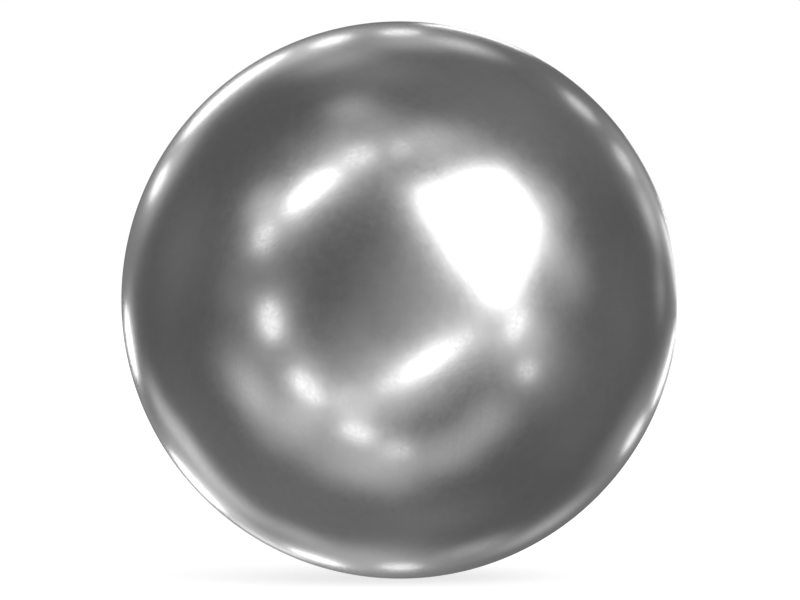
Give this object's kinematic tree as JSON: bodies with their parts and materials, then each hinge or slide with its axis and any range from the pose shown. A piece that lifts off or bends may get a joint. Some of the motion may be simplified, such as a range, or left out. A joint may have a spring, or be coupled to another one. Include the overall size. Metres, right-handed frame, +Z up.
{
  "type": "valve ball",
  "caption": "Solid lapped steel ball that closes a check valve or small pump by resting on a ring-shaped seat.",
  "frame": {"origin": "the ball's centre", "axes": "+Z up, away from the seat that the ball rests on; the ball is the same along every axis"},
  "size_m": [0.0254, 0.0254, 0.0254],
  "materials": {
    "lapped_steel": "gloss"
  },
  "bodies": {
    "root": {"valve_ball": "lapped_steel"}
  },
  "joints": []
}
